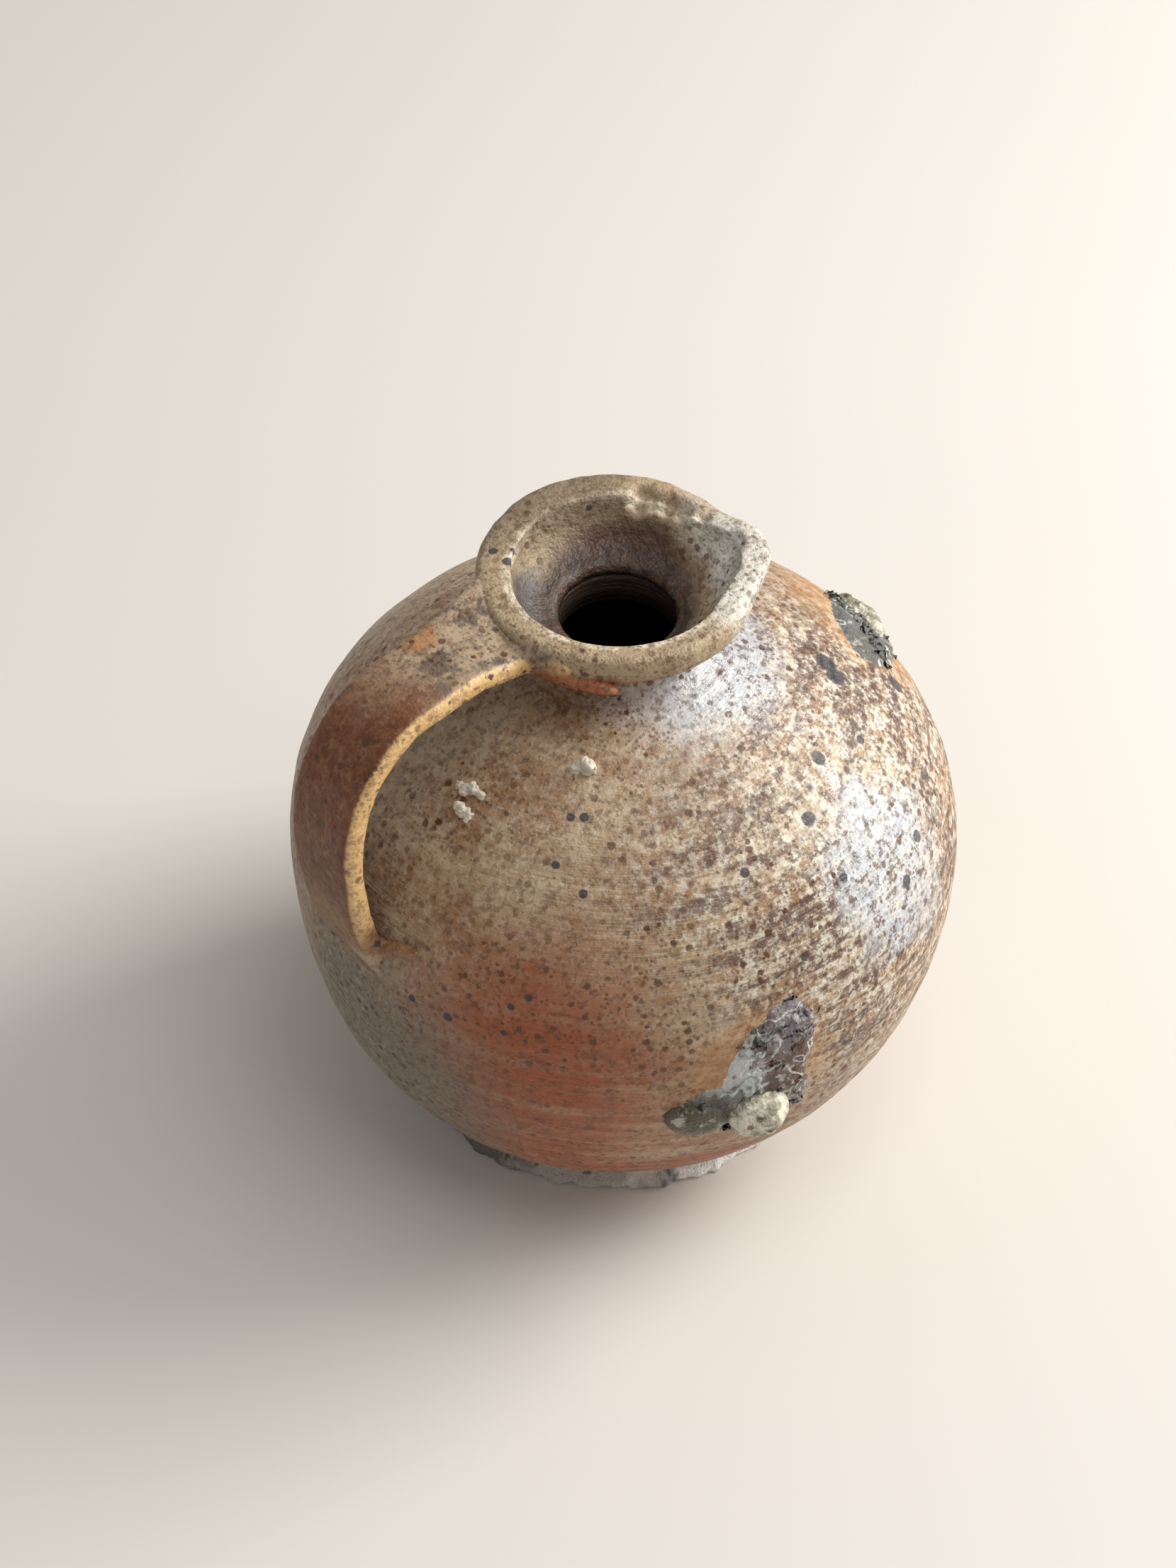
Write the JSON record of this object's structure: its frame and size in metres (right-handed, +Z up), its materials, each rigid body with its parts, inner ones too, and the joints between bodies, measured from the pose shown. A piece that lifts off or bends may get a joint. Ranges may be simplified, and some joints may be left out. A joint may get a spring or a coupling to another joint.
{
  "type": "stoneware jug",
  "caption": "Small round-bellied salt-glazed stoneware jug with a short neck, flared rim pinched into a pouring lip and one strap handle",
  "frame": {"origin": "centre of the flat base, on the surface that the jug stands on", "axes": "+Z up along the throat; the handle stands on -X; the pouring lip points to +X, 24 degrees towards -Y"},
  "size_m": [0.1538, 0.1522, 0.1484],
  "materials": {
    "salt_glazed_stoneware": "thin salt glaze, speckled tan, semi-matt",
    "rim_stoneware": "worn salt glaze, mottled grey-brown",
    "handle_stoneware": "salt glaze over iron-bearing clay, brown",
    "bare_foot_clay": "unglazed and chipped",
    "kiln_crust": "fused kiln crust, purple-grey, rough",
    "kiln_wad_clay": "bare refractory clay, cream"
  },
  "bodies": {
    "root": {"body": "salt_glazed_stoneware", "neck": "salt_glazed_stoneware", "rim_and_pouring_lip": "rim_stoneware", "foot_ring": "bare_foot_clay", "strap_handle": "handle_stoneware", "handle_upper_lute": "handle_stoneware", "handle_lower_lute": "handle_stoneware", "kiln_scar_front": "kiln_crust", "kiln_wad_lump": "kiln_wad_clay", "kiln_scar_side": "kiln_crust", "kiln_shard": "kiln_wad_clay", "clay_crumb_1": "kiln_wad_clay", "clay_crumb_2": "kiln_wad_clay", "clay_crumb_3": "kiln_wad_clay"}
  },
  "joints": []
}
